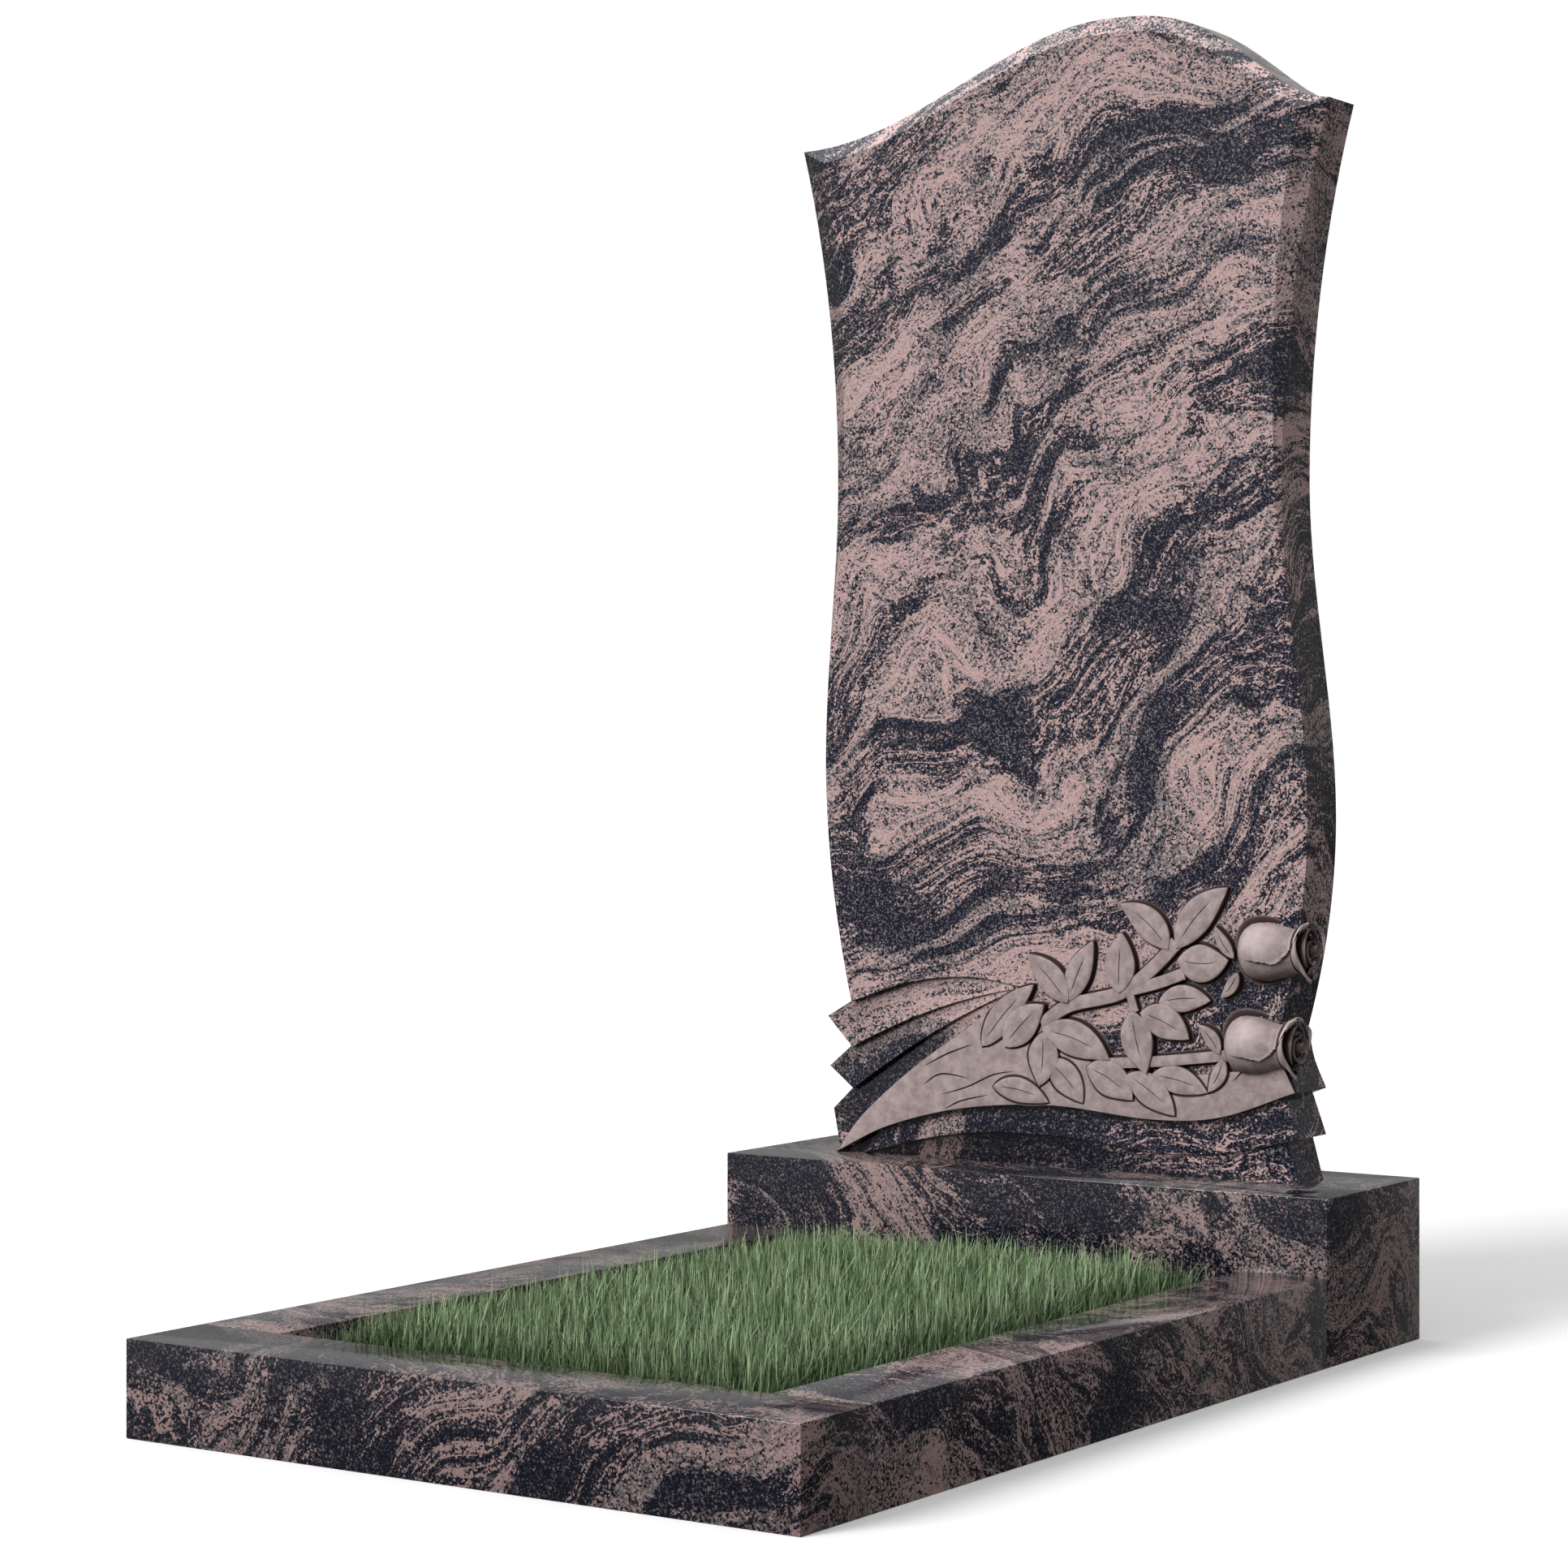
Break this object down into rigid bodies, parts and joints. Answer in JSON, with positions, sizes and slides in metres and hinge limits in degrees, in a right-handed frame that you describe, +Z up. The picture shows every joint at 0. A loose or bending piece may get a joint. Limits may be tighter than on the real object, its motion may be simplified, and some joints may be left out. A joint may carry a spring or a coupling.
{
  "type": "granite headstone with plinth and kerb surround",
  "caption": "Upright granite headstone with a flared ogee outline, carved cloth and roses at its foot, on a plinth with a low kerb surround around a grass bed.",
  "frame": {"origin": "centre of the footprint, on the ground", "axes": "+Z up, -Y the way the carved face looks, +X to the right of someone who stands at the front kerb and looks at the carved face"},
  "size_m": [0.65, 1.03, 1.238],
  "materials": {
    "carved_granite": "pink and dark blue multicolour granite, polished, with matt carved relief",
    "polished_granite": "pink and dark blue multicolour granite, polished",
    "turf": "short green grass on dark earth"
  },
  "bodies": {
    "root": {"stele": "carved_granite", "plinth": "polished_granite", "front_kerb": "polished_granite", "left_kerb": "polished_granite", "right_kerb": "polished_granite", "turf": "turf"}
  },
  "joints": []
}
